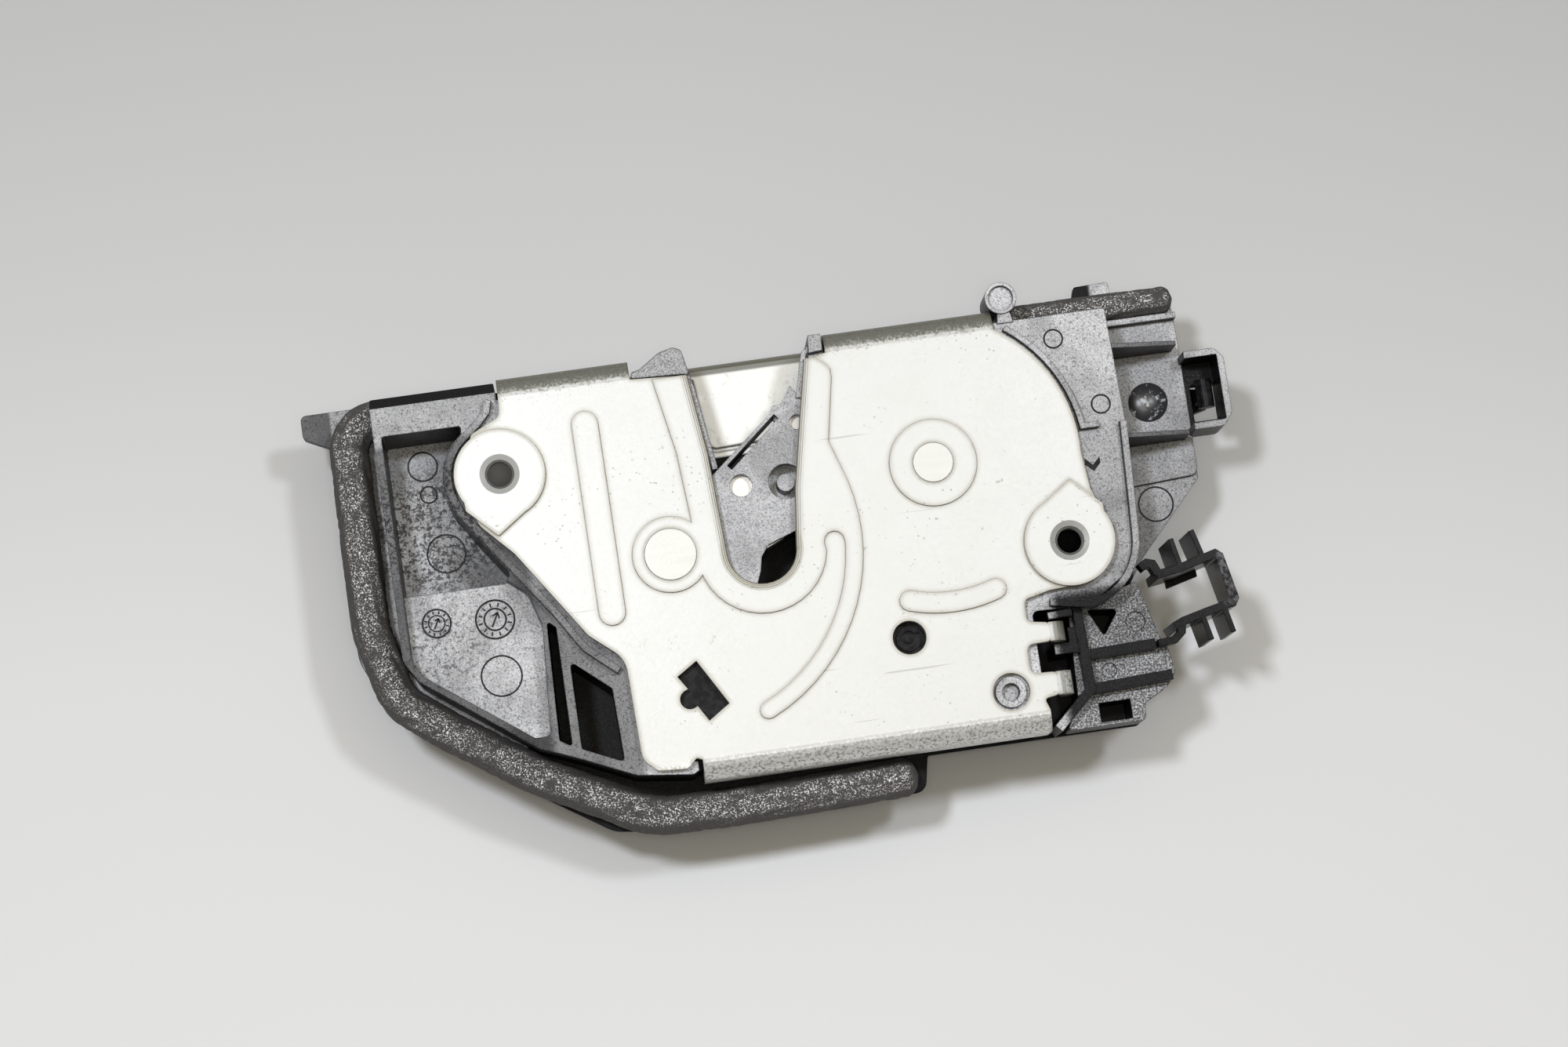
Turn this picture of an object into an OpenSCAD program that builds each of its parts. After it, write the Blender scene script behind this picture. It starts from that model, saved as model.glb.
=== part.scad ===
// Side-door latch of a car: a pressed lock plate over a moulded housing, with catch, pawl and actuator.
// The frame: +Z out of the lock plate, +X along it, +Y towards the open end of the fishmouth.
// The origin is midway between the two fixing holes, on the face that bolts to the door.

/* [Fixing] */
// Distance between the two fixing holes
fixing_pcd = 99; // [96:0.5:101]
// Slope of the line through the fixing holes, in degrees
fixing_slope = 14.7; // [13:0.1:16]
// Core diameter of the fixing threads
fixing_core = 5; // [4:0.1:6]
// Mouth diameter of the countersink on each thread
fixing_mouth = 7; // [6.4:0.1:8]
// Depth of that countersink
fixing_sink = 0.4; // [0.3:0.05:0.45]
// Radius of the raised lobe round each fixing hole
lobe_r = 7.9; // [7:0.1:8.3]
// Height of the lobes over the plate's face
lobe_h = 0.8; // [0.4:0.1:1.2]

/* [Lock plate] */
// Thickness of the pressed steel
plate_t = 2; // [1.6:0.1:2.4]
// Distance from the origin to the plate's upper edge
plate_top = 29.5; // [29:0.1:30.5]
// Distance from the origin to the plate's lower edge
plate_foot = 44.6; // [44:0.1:46]
// Outer radius of the bent edges
bend_r = 3.6; // [3:0.1:4]
// Depth of the bent edges below the plate's face
flange_depth = 11; // [8:0.5:13]
// Height of the pressed beads and of the field round the fishmouth
emboss_h = 0.5; // [0.3:0.1:0.7]
// Width of the rolled lip round the fishmouth
lip_w = 1.5; // [1:0.1:2]

/* [Fishmouth] */
// Place of the latched striker along X
mouth_x = -5; // [-5.5:0.1:-4.5]
// Place of the latched striker along Y
mouth_y = -6.5; // [-7:0.1:-6]
// Radius of the fishmouth's closed end
mouth_r = 6; // [5.5:0.1:6.5]
// Diameter of the striker rod that it takes
striker_d = 11; // [9:0.5:11.5]

/* [Catch] */
// Place of the catch pivot along X
catch_x = -20.7; // [-21.2:0.1:-20.2]
// Place of the catch pivot along Y
catch_y = -5.3; // [-5.8:0.1:-4.8]
// Direction of the catch's mouth when it stands open, in degrees
mouth_angle = 40; // [38:0.5:42]
// Height of the latched striker over the catch's centre line
seat_rise = 10.1; // [9.8:0.1:10.4]
// Radius of the catch at its load arm
catch_r = 36.2; // [35:0.1:36.6]
// Radius of the catch at its hook
hook_r = 28.5; // [27:0.5:29.5]
// Thickness of the catch with its moulded jacket
catch_t = 8; // [7:0.5:8.5]
// Thickness of the catch's steel core
core_t = 4; // [3.5:0.5:5]
// Thickness of the jacket round the core's edge
jacket_t = 0.8; // [0.6:0.1:1]

/* [Pawl] */
// Place of the pawl pivot along X
pawl_x = 26.5; // [26:0.1:27]
// Place of the pawl pivot along Y
pawl_y = 4.2; // [3.7:0.1:4.7]
// Turn of the pawl from engaged to riding on the catch, in degrees
pawl_ride = 9; // [8:0.5:10]
// Thickness of the pawl
pawl_t = 5; // [4:0.5:6]

/* [Pivots] */
// Diameter of the catch rivet's shank
catch_pin_d = 9; // [8:0.5:10]
// Diameter of the pawl rivet's shank
pawl_pin_d = 7; // [6:0.5:8]
// Radial running clearance on each pivot
run_fit = 0.05; // [0.02:0.01:0.1]
// Height of the rivet heads
head_h = 0.7; // [0.5:0.1:1]

/* [Housing] */
// Depth of the chamber that holds the catch and the pawl
chamber_depth = 10; // [9.5:0.5:10.5]
// Thickness of the chamber's floor
floor_t = 2; // [1.5:0.1:2.2]
// Depth from the plate's underside to the base slab
base_depth = 15.2; // [15:0.1:16]
// Thickness of the base slab
base_t = 2; // [1.8:0.1:2.4]
// Wall thickness of the mouldings
wall_t = 1.4; // [1.2:0.1:1.8]
// Height of the ribs round the lock plate over the housing's face
rib_h = 1.8; // [1.4:0.1:2]

/* [Actuator] */
// Depth of the actuator case behind the base slab
case_depth = 18; // [17:0.5:20]
// Wall thickness of the actuator case
case_t = 2; // [1.6:0.1:2.4]
// Diameter of the motor
motor_d = 13; // [12:0.5:13.5]
// Length of the motor's can
motor_l = 25; // [22:0.5:26]
// Pitch diameter of the worm
worm_d = 6; // [5:0.5:7]
// Teeth of the worm wheel
wheel_teeth = 36; // [30:1:40]
// Module of the worm gearing
gear_module = 0.75; // [0.7:0.05:0.8]

/* [Seal] */
// Radius of the foam seal's section
seal_r = 3.5; // [3.2:0.1:3.6]
// Radius of the upper foam strip's section
strip_r = 2.5; // [2:0.1:2.6]

/* [Hidden] */

$fn = 48;
e = 0.01;
gap = 0.3;

hole_a = fixing_pcd / 2 * [-cos(fixing_slope), sin(fixing_slope)];
hole_b = -hole_a;
catch_c = [catch_x, catch_y];
pawl_c = [pawl_x, pawl_y];
mouth_c = [mouth_x, mouth_y];
foot_y = -plate_foot;

face_z = -lobe_h;
bed_z = face_z - plate_t;
chamber_z = bed_z - chamber_depth;
under_z = chamber_z - floor_t;
base_z = bed_z - base_depth;
back_z = base_z - base_t;
case_z = back_z - case_depth;
edge_strip = 0.65;
rib_z = bed_z + rib_h;
end_z = bed_z - 5.2;
clip_z = bed_z - 1.6;

striker_reach = norm(mouth_c - catch_c);
seat_run = sqrt(striker_reach * striker_reach - seat_rise * seat_rise);
seat_angle = atan2(mouth_c[1] - catch_c[1], mouth_c[0] - catch_c[0]);
catch_swing = mouth_angle + atan2(seat_rise, seat_run) - seat_angle;
catch_mid = (bed_z + chamber_z) / 2;
load_edge = seat_rise - mouth_r;
hook_edge = seat_rise + mouth_r;

// Points on an arc about c, from angle a0 to a1
function arc(c, r, a0, a1, n = 10) = [for (i = [0:n]) c + r * [cos(a0 + (a1 - a0) * i / n),
    sin(a0 + (a1 - a0) * i / n)]];
function unit(v) = v / norm(v);

// The arc that rounds the corner p between its neighbours a and b
function corner(p, a, b, r, n) =
    let (u = unit(a - p), w = unit(b - p), half = acos(u * w) / 2,
        c = p + unit(u + w) * r / sin(half),
        s = p + u * r / tan(half) - c, f = p + w * r / tan(half) - c,
        a0 = atan2(s[1], s[0]), q = atan2(f[1], f[0]) - a0,
        d = q > 180 ? q - 360 : q < -180 ? q + 360 : q)
    arc(c, r, a0, a0 + d, n);

// A polygon's points with each corner rounded by its own third value
function rounded(pts, n = 5) = let (m = len(pts)) [for (i = [0:m - 1])
    let (p = pts[i], a = pts[(i + m - 1) % m], b = pts[(i + 1) % m])
    each p[2] > 0 ? corner([p[0], p[1]], [a[0], a[1]], [b[0], b[1]], p[2], n) : [[p[0], p[1]]]];

// A plate of the given outline between two heights
module slab(z0, z1, pts) translate([0, 0, z0]) linear_extrude(z1 - z0) polygon(pts);

// A round post or cutter between two heights
module post(c, r, z0, z1) translate([c[0], c[1], z0]) cylinder(r = r, h = z1 - z0);

// The line of points, moved sideways by d
function beside(pts, d) = let (m = len(pts) - 1) [for (i = [0:m])
    let (u = unit(pts[max(i, 1)] - pts[max(i, 1) - 1]), v = unit(pts[min(i, m - 1) + 1] - pts[min(i, m - 1)]),
        n = [-u[1], u[0]], k = unit(n + [-v[1], v[0]])) pts[i] + k * d / (k * n)];

// A wall of constant width along a line of points
module strip(pts, w, z0, z1) slab(z0, z1,
    concat(beside(pts, -w / 2), beside([for (i = [len(pts) - 1:-1:0]) pts[i]], -w / 2)));

// A rod of round section along a path, closed at both ends
module rod(path, r, sides = 8) {
    n = len(path);
    ring = [for (i = [0:n - 1]) let (t = unit(path[min(i + 1, n - 1)] - path[max(i - 1, 0)]),
        s = unit(cross(t, [0, 0, 1])), u = cross(s, t))
        each [for (k = [0:sides - 1]) path[i] + r * (cos(360 * k / sides) * s + sin(360 * k / sides) * u)]];
    walls = [for (i = [0:n - 2], k = [0:sides - 1]) let (a = i * sides + k, b = i * sides + (k + 1) % sides)
        each [[a, a + sides, b], [b, a + sides, b + sides]]];
    polyhedron(ring, concat(walls, [[for (k = [0:sides - 1]) k]],
        [[for (k = [sides - 1:-1:0]) (n - 1) * sides + k]]));
}

// Outline of the fishmouth, widened all round by g
function mouth_pts(g) = concat([[-13.9 - g, plate_top + 2], [-13.4 - g, 24.6], [-11.8 - g, 11]],
    arc(mouth_c, mouth_r + g, 180, 360, 16), [[2.2 + g, 3], [4.5 + g, 14], [6.8 + g, 24.6],
    [7.4 + g, plate_top + 2]]);

// Outline of the flat of the lock plate
plate_pts = rounded(concat([[-46.4, plate_top - bend_r, 0], [-46.6, 22.6, 1.5],
    [hole_a[0] - 4, hole_a[1] + 7.6, 1], [hole_a[0] - 7, hole_a[1] - 2, 2], [hole_a[0] - 4.6, hole_a[1] - 8.4, 4],
    [-47.2, -1.4, 5], [-36.6, -17.2, 5], [-30.9, -22, 5], [-30.4, -39.6, 3], [-28, -41.9, 2], [-22.8, -42.2, 1],
    [-21.2, bend_r + 0.4 - plate_foot, 0.4], [-20.2, bend_r - plate_foot, 0],
    [40.2, bend_r - plate_foot, 0], [39.5, -39, 0.5], [42, -38.6, 0.5], [42, -34.6, 0.5], [37.8, -34.4, 1.2],
    [37.8, -29.4, 1.2], [42, -29.3, 0.5], [42, -26, 0.5], [38.4, -25.4, 1], [38.6, -21.6, 1],
    [hole_b[0] - 4.6, hole_b[1] - 8, 2], [hole_b[0] + 3, hole_b[1] - 7.6, 3], [hole_b[0] + 8, hole_b[1], 4],
    [hole_b[0] + 5, hole_b[1] + 8.6, 2]],
    [for (p = arc(pawl_c, 25.8, -4, 54, 12)) [p[0], p[1], 0]],
    [[40.4, plate_top - bend_r, 0], [10.8, plate_top - bend_r, 0], [8, 25.3, 0], [-14, 25.3, 0],
    [-23.4, plate_top - bend_r, 0]]));

// A lobe's outline, a disc that runs out in a straight flank
module lobe(h) {
    cylinder(r = lobe_r, h = h);
    linear_extrude(h) polygon([[5.6, -5.6], [-1.6, -10.6], [-6.6, -5.6], [-lobe_r + 1, 0], [0, 0]]);
}

// Field pressed up round the fishmouth, with its arm along the path of the catch
module mouth_field(h) linear_extrude(h) union() {
    polygon(concat([[-19.6, 25.3], [-17.2, 11.9], [-16.2, -2]], arc(mouth_c, 11.2, 190, 350, 16),
        arc([7.6, -7], 1.8, 180, 0, 6), arc(catch_c, 30.2, -5, -66, 12), arc(catch_c + 31.7 * [cos(66), -sin(66)],
        1.5, 114, 294, 6), arc(catch_c, 33.2, -66, 20, 16), [[9.1, 10.4], [11.2, 21.4], [11.2, 23], [10.2, 24.2],
        [8.6, 25.3]]));
    translate(catch_c) circle(r = 6.6);
}

// A straight or curved bead with round ends
module straight_bead(p, q, w, h) let (a = atan2(q[1] - p[1], q[0] - p[0])) linear_extrude(h)
    polygon(concat(arc(p, w / 2, a + 90, a + 270, 10), arc(q, w / 2, a - 90, a + 90, 10)));
module curved_bead(c, r, a0, a1, w, h) linear_extrude(h) polygon(concat(arc(c, r - w / 2, a0, a1, 10),
    arc(c + r * [cos(a1), sin(a1)], w / 2, a1 + 180, a1, 6), arc(c, r + w / 2, a1, a0, 10),
    arc(c + r * [cos(a0), sin(a0)], w / 2, a0, a0 - 180, 6)));

module plate_embossing(h) {
    mouth_field(h);
    straight_bead([-32.2, 19.2], [-32, -13.8], 4.6, h);
    curved_bead(pawl_c, 24.4, -108, -72, 3.6, h);
    translate(pawl_c) cylinder(r = 7.6, h = h);
}

// One bent edge of the lock plate, from x0 to x1; side is 1 at the top and -1 at the foot
module bent_edge(x0, x1, y, side) mirror([0, side > 0 ? 0 : 1, 0]) {
    translate([x0, y - bend_r, face_z - bend_r]) rotate([90, 0, 90]) linear_extrude(x1 - x0)
        polygon(concat(arc([0, 0], bend_r, 90, 0, 8), arc([0, 0], bend_r - plate_t, 0, 90, 8)));
    translate([x0, y - plate_t, face_z - flange_depth]) cube([x1 - x0, plate_t, flange_depth - bend_r + e]);
}

// A tab at the plate's right end, crimped down over the housing
module crimp_tab(y0, y1) {
    translate([42 - e, y1, face_z - bend_r + 0.6]) rotate([90, 0, 0]) linear_extrude(y1 - y0)
        polygon(concat(arc([0, 0], bend_r - 0.6, 90, 0, 6), arc([0, 0], bend_r - 0.6 - plate_t, 0, 90, 6)));
    translate([42 + bend_r - 0.6 - plate_t - e, y0, face_z - 7]) cube([plate_t, y1 - y0, 7 - bend_r + 0.6 + e]);
}

module lock_plate() color([0.86, 0.85, 0.78]) difference() {
    union() {
        slab(bed_z, face_z, plate_pts);
        for (c = [hole_a, hole_b]) post(c, lobe_r, bed_z, face_z);
        translate([hole_a[0], hole_a[1], face_z - e]) lobe(lobe_h + e);
        translate([hole_b[0], hole_b[1], face_z - e]) rotate([0, 0, 180]) lobe(lobe_h + e);
        translate([0, 0, face_z - e]) plate_embossing(emboss_h + e);
        bent_edge(-46.4, -23.4, plate_top, 1);
        bent_edge(10.8, 40.4, plate_top, 1);
        bent_edge(-20.2, 40.2, plate_foot, -1);
        crimp_tab(-29.3, -26);
        crimp_tab(-38.6, -34.6);
    }
    slab(bed_z - e, 1, mouth_pts(0));
    for (q = [0.1, 0.3, 0.55, 0.8]) slab(face_z + emboss_h - lip_w * (1 - sqrt(1 - (1 - q) * (1 - q))), 1,
        mouth_pts(lip_w * q));
    for (c = [hole_a, hole_b]) {
        post(c, fixing_core / 2, bed_z - 1, 1);
        translate([c[0], c[1], -fixing_sink])
            cylinder(r1 = fixing_core / 2, r2 = fixing_mouth / 2, h = fixing_sink + e);
    }
    post(catch_c, catch_pin_d / 2, bed_z - 1, 1);
    post(pawl_c, pawl_pin_d / 2, bed_z - 1, 1);
    post([18, -25.3], 2.9, bed_z - 1, 1);
    post([34, -37], 3.2, bed_z - 1, 1);
    slab(bed_z - 1, 1, [[-22.5, -26.4], [-18.9, -24.1], [-14.3, -32.1], [-18.1, -34.6], [-19.4, -32.4],
        [-21.6, -29], [-21, -28.7]]);
    post([-20.9, -30.5], 1.7, bed_z - 1, 1);
}

// Outline of the housing's front block, under the plate and out to its wings
block_pts = rounded([[-68.7, 29.2, 0.5], [-68.7, -17, 2.5], [-66.4, -20.8, 2], [-47.6, -35, 3],
    [-40.4, foot_y + 6.6, 4], [-31.6, foot_y + 2.6, 3], [-22, foot_y + 1.4, 1], [-20.6, foot_y + plate_t + 0.2, 0.3],
    [39.8, foot_y + plate_t + 0.2, 0.3], [39.8, -23.6, 1], [50, -24, 8], [59.6, -17.4, 8], [61, 6.5, 1],
    [60.4, 27.3, 0.5], [-46.9, 27.3, 0], [-46.9, 29.2, 0.3]]);

// Outline of the chamber for the catch and the pawl
chamber_pts = rounded([[-38, 25.2, 2], [-38, 10, 3], [-42.2, 1, 3], [-31.6, -18.5, 3], [-28.8, -26, 4], [-28.4, -41, 2],
    [25, -41, 2], [26, -34, 2], [33, -28, 3], [38, -8, 4], [38.5, 10, 4], [33, 25.2, 3]]);

// Outline of the space behind the chamber's floor, for the release lever and the springs
rear_pts = rounded([[-33, 24, 2], [-38, 4, 3], [-28, -17, 4], [-26, -38, 2], [24, -38, 2], [31, -27, 3],
    [37.8, -8, 4], [37.8, 10, 4], [31, 24, 3]]);

// Outline of the base slab, with the flange under the seal
base_pts = rounded([[-81.6, 30.2, 1], [-81.6, 26, 1], [-77.2, 23.8, 0.5], [-77, -14.5, 8], [-71.6, -26.2, 4],
    [-49.8, -41.6, 3], [-36.8, foot_y - 5.6, 6], [-26, foot_y - 7, 6], [18.2, foot_y - 6.4, 2],
    [19.4, foot_y - 0.2, 0.5], [57.4, -44.8, 1],
    [57.8, -41.6, 0.5], [62.4, -39.2, 1], [63.8, -36.4, 1], [63, -32.6, 1], [61.6, -30.4, 0.5], [59.6, -19.6, 0.5],
    [62.4, -15.6, 0.5], [74.4, -2.8, 0.5], [74.4, 28.3, 0.5], [-62, 28.3, 1], [-66, 30.2, 1]]);

// Outline of the actuator case
case_pts = rounded([[-40.5, 24.2, 3], [-40.5, -35, 4], [-32, -42.2, 4], [41, -42.2, 4], [46, -20, 4],
    [60, -16, 4], [74, -2.8, 3], [75, 24.2, 3]]);

// Outline of the back plate, a bridge over the mouth that holds the inner ends of both rivets
back_pts = rounded([[-30, 27.6, 2], [-30, -13, 4], [-13.6, -13, 4], [-12.4, 12.6, 1.5], [8.5, 12.6, 3],
    [9, -1, 2], [20, -7, 5], [34, -3, 6], [34, 12, 8], [26, 27.6, 3]]);

// Line of the pressed step in the back plate, round the corner that shows in the mouth
back_step = concat([[-12.4, 27], [-11.4, 17]], arc([-9.3, 16], 2, 185, 262, 6), [[8.4, 14.6]]);

// Centre line of the rib that follows the plate round the left fixing lobe
left_rib = concat([[-48.2, 25.8], [-48.8, 23.8], [-50.6, 21.9]], arc(hole_a, 9, 128, 200, 7), [[-55.2, 6.6],
    [-51.8, 1.8], [-46.2, -6], [-41.4, -12.8], [-37.4, -19.2], [-32.2, -23.8]]);
right_rib = concat(arc(pawl_c, 26.9, 54, 6, 10), [[56.2, 7]]);
corner_rib = concat([[60.4, 7], [59.8, -6]], arc(hole_b, 11.6, 0, -78, 8), [[43, -22.6]]);

// A triangular gusset between the front block and the lower step
module gusset(y) translate([60.6, y + 0.6, 0]) rotate([90, 0, 0]) linear_extrude(0.8)
    polygon([[0, bed_z - 0.6], [0, base_z + e], [12.4, base_z + e], [12.4, base_z + 7.8]]);

module left_wing_pockets() {
    slab(base_z, 1, rounded(concat([[-67.3, 22.2, 0.5], [-53.4, 22.2, 0.5]],
        [for (p = arc(hole_a, 10, 125, 205, 6)) [p[0], p[1], 0]], [[-53.2, 2.4, 1], [-47.2, -6, 1],
        [-49.4, -5.5, 2], [-67.3, -5.5, 0.5]])));
    slab(bed_z - 5.2, 1, rounded([[-67.3, -5.2, 0.2], [-49.4, -5.2, 2], [-46, -8, 3], [-44.2, -14, 3],
        [-45.4, -33.2, 1], [-48, -33.2, 1], [-65.6, -20, 2], [-67.3, -16.6, 2]]));
    slab(base_z, 1, rounded([[-43.4, -13.4, 0.4], [-41.9, -14.8, 0.4], [-41.9, -35.6, 0.4], [-44, -34.2, 0.4]]));
    slab(base_z, 1, rounded([[-40.4, -20.9, 0.5], [-33.8, -26.6, 0.5], [-33.4, -39.4, 0.5], [-40.4, -36.2, 0.5]]));
}

module end_block() difference() {
    union() {
        slab(base_z - e, end_z, rounded([[46.6, -24.4, 0.5], [59.2, -20.4, 0.5], [61.8, -30.6, 0.5], [63, -33, 0.5],
            [63.6, -37, 1], [61.8, -39.4, 1], [57.6, -41.6, 0.5], [57.2, -44.6, 0.5], [43.4, -44.6, 0.5],
            [46, -40, 0.5]]));
        strip([[47.8, -22.8], [48.2, -38.2], [41.6, -44.2]], 1.6, base_z, -4.6);
        strip([[48, -32.2], [60.5, -31.9]], 1.8, base_z, -5);
        strip([[48, -38.2], [62.6, -37.6]], 1.8, base_z, -5);
        strip([[42.4, -24.8], [46.6, -24.6]], 1.2, base_z, bed_z);
        slab(base_z, -5.4, [[43, -31.4], [47.6, -31.4], [47.6, -27], [45.8, -27], [45.8, -29.6], [43, -29.6]]);
    }
    slab(back_z - 1, 1, rounded([[49.8, -24.2, 0.4], [55.4, -24.8, 0.6], [52.2, -29.2, 0.4]]));
    slab(back_z - 1, 1, [[49.4, -44], [55, -44], [55, -40.6], [49.4, -40.6]]);
    post([58, -27.4], 1.7, end_z - 0.4, 0);
    post([52.2, -35.2], 1.3, end_z - 0.4, 0);
}

// The moulded edge that shows along the right side of the mouth, behind the plate
module mouth_edge() strip([[9.2, 28.4], [7.2, 26.6], [6.6, 24.6], [5.2, 19]], 0.9, bed_z - edge_strip, bed_z - 0.1);

module latch_housing() color([0.13, 0.13, 0.14]) {
    housing_body();
    mouth_edge();
}

module housing_body() difference() {
    union() {
        difference() {
            union() {
                slab(back_z, base_z + e, base_pts);
                slab(base_z, bed_z, block_pts);
            }
            slab(chamber_z, 1, chamber_pts);
            difference() {
                slab(back_z - 1, under_z, rear_pts);
                slab(back_z - 2, 1, mouth_pts(2));
                post(catch_c, catch_pin_d / 2 + 1, base_z, 1);
            }
            left_wing_pockets();
            slab(base_z, base_z + 2 * seal_r + 0.4, [[-80, 23.6], [-49, 23.6], [-49, 40], [-80, 40]]);
            slab(base_z, base_z + 2 * strip_r + 0.3, [[43.9, 26.85], [80, 26.85], [80, 40], [43.9, 40]]);
        }
        for (p = [left_rib, corner_rib]) strip(p, 1.2, bed_z - 1, rib_z);
        strip(right_rib, 1, bed_z - 1, rib_z);
        slab(base_z - e, base_z + 1, rounded([[60, 26.6, 0], [74.4, 26.6, 0.5], [74.4, -2.2, 1.4], [60, -3, 0]]));
        slab(base_z - e, base_z + 3.4, [[60, 26.85], [74.4, 26.85], [74.4, 25.8], [60, 25.8]]);
        for (y = [20.4, 4.4]) gusset(y);
        post([42.6, 31.4], 2.8, -12, bed_z + 0.8);
        slab(-12, bed_z + 0.4, [[41.4, 27], [44.2, 27], [43.6, 30], [41.8, 30]]);
        slab(back_z, base_z, rounded([[55.8, 28, 0], [57.6, 34.2, 0.5], [63.8, 34.4, 0.5], [64.2, 28, 0]]));
        end_block();
        slab(base_z, face_z, [[7.6, 26.2], [10.4, 26.4], [10.4, 29.3], [7.6, 29.3]]);
        post([34, -37], 2.7, bed_z - 1, -1.6);
        difference() {
            slab(back_z, -10, rounded([[74, 18.8, 0], [79.4, 18.8, 1.5], [81, 17, 1.5], [81, 7, 1.5], [79.4, 4.8, 1.5],
                [74, 4.8, 0]]));
            slab(base_z, 0, rounded([[73, 17.6, 0], [79.8, 17.6, 0.3], [79.8, 6, 0.3], [73, 6, 0]]));
            slab(back_z - 1, 0, rounded([[75.4, 13.6, 0.3], [79.8, 13.6, 0.3], [79.8, 7.2, 0.3], [75.4, 7.2, 0.3]]));
        }
    }
    translate([-70, 29.2, bed_z]) rotate([90, 0, 90]) linear_extrude(24) polygon([[-2, e], [e, e], [e, -2.4]]);
    for (x = [[-46.8, -23.6], [10.6, 40.6]]) translate([x[0], plate_top, bed_z]) rotate([90, 0, 90])
        linear_extrude(x[1] - x[0]) polygon([[-bend_r - 0.1, e], [0, e], [0, -bend_r - 0.1]]);
    translate([-21, foot_y, bed_z]) rotate([90, 0, 90]) linear_extrude(62)
        polygon([[bend_r + 0.1, e], [0, e], [0, -bend_r - 0.1]]);
    slab(base_z, 1, concat(mouth_pts(1), [[7.4, 60], [-13.9, 60]]));
    slab(back_z - 1, base_z, back_pts);
    translate([-28, 27.5, back_z - 1]) cube([52, 10, base_t + 1]);
    post(hole_a, 5, back_z - 1, 1);
    post(hole_b, 5, base_z, 1);
    post([42.6, 31.4], 2.15, bed_z - 0.2, 1);
    post(catch_c, catch_pin_d / 2 + 0.02, back_z - 1, 1);
    post(pawl_c, pawl_pin_d / 2 + 0.02, back_z - 1, 1);
    slab(-12.2, 1, [[-23.8, 24.5], [-12, 24.5], [-12, 32], [-23.8, 32]]);
    post([34, -37], 1.5, bed_z - 1, 1);
    post(inside_c, pin_d / 2 + 0.02, back_z - 1, 1);
}

module mouth_liner() color([0.2, 0.2, 0.21]) {
    slab(-12, -1.6, rounded([[-23.1, 26.1, 0.3], [-23.1, 27.2, 0.5], [-21.6, 27.5, 0.5], [-17.8, 30, 1.5],
        [-15.4, 30.6, 1], [-13.9, 30, 1], [-12.9, 24.9, 0.5], [-14.1, 25.7, 0.3]]));
    strip([[-13.6, 26.4], [-12.9, 23], [-11.2, 11], [-10.9, 8.6]], 1, bed_z - edge_strip, bed_z - 0.1);
}

module back_plate() color([0.82, 0.81, 0.76]) difference() {
    union() {
        slab(back_z, base_z, back_pts);
        translate([-28, 27.6 - e, back_z]) cube([52, 1.9, base_t]);
    }
    post(catch_c, 3.52, back_z - 1, 0);
    post(pawl_c, 2.52, back_z - 1, 0);
    strip(back_step, 0.7, base_z - 0.8, 0);
    translate([-28.1, plate_top, base_z]) rotate([90, 0, 90]) linear_extrude(52.2)
        polygon([[-1.9, e], [e, e], [e, -1.9], [-0.4, -1], [-1, -0.4]]);
}

// Outline of the catch in its own frame, along its mouth; j is the jacket that is left off
function catch_pts(j) = concat(
    [[catch_r - j, load_edge + 0.5 - j], [catch_r - 3.6, load_edge - 0.5 - j],
     [catch_r - 4.8, load_edge + 0.4 - j], [catch_r - 6.2, load_edge - 0.2 - j]],
    arc([seat_run, seat_rise], mouth_r + j, 270, 90, 12),
    [[20 - j, hook_edge + j]],
    arc([0, 0], hook_r - j, 44 + j, 82 - j, 8),
    arc([0, 0], 11 - j, 130, 250, 8),
    arc([0, 0], 15.8 - j, 275, 312, 4),
    [[12.9 - j, -11.2], (catch_r - 6) * [cos(32), -sin(32)] + [0, j]],
    arc([0, 0], catch_r - j, -31.5, -24 - j, 3),
    arc([0, 0], catch_r - 4.8 - j, -23.5, -10, 4),
    arc([0, 0], catch_r - j, -4, min(5.5, asin((load_edge + 0.3 - j) / (catch_r - j))), 3));

gate_c = [1, 4.9];
gate_r = 3.1;

module in_catch(turn) translate([catch_x, catch_y, 0]) rotate([0, 0, mouth_angle + turn]) children();

// Slit along the catch's load edge, which lets its jacket give as the striker lands
module landing_slit(far) in_catch(0) slab(chamber_z, 1, [[18.4, load_edge - 1.9], [catch_r - 5.6, load_edge - 1.9],
    [catch_r - 5.6, load_edge - far], [18.4, load_edge - far]]);

module catch_core() color([0.66, 0.65, 0.62]) difference() {
    in_catch(0) slab(catch_mid - core_t / 2, catch_mid + core_t / 2, catch_pts(jacket_t));
    post(catch_c, catch_pin_d / 2 + run_fit, chamber_z, 1);
    landing_slit(0.2);
    post(gate_c, gate_r, chamber_z, 1);
}

module catch_jacket() color([0.3, 0.3, 0.31]) difference() {
    in_catch(0) slab(catch_mid - catch_t / 2, catch_mid + catch_t / 2, catch_pts(0));
    difference() {
        in_catch(0) slab(catch_mid - core_t / 2, catch_mid + core_t / 2, catch_pts(jacket_t));
        post(gate_c, gate_r, chamber_z, 1);
    }
    post(catch_c, catch_pin_d / 2 + gap, chamber_z, 1);
    landing_slit(0.8);
    post([-6.8, 5.3], 1.95, catch_mid + core_t / 2 - e, 1);
    post([4.4, 15], 1.3, catch_mid + core_t / 2 - e, 1);
    difference() {
        post(gate_c, gate_r, catch_mid - core_t / 2 - e, 1);
        post(gate_c, gate_r / 2, chamber_z, catch_mid + core_t / 2 + 0.8);
    }
}

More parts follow.
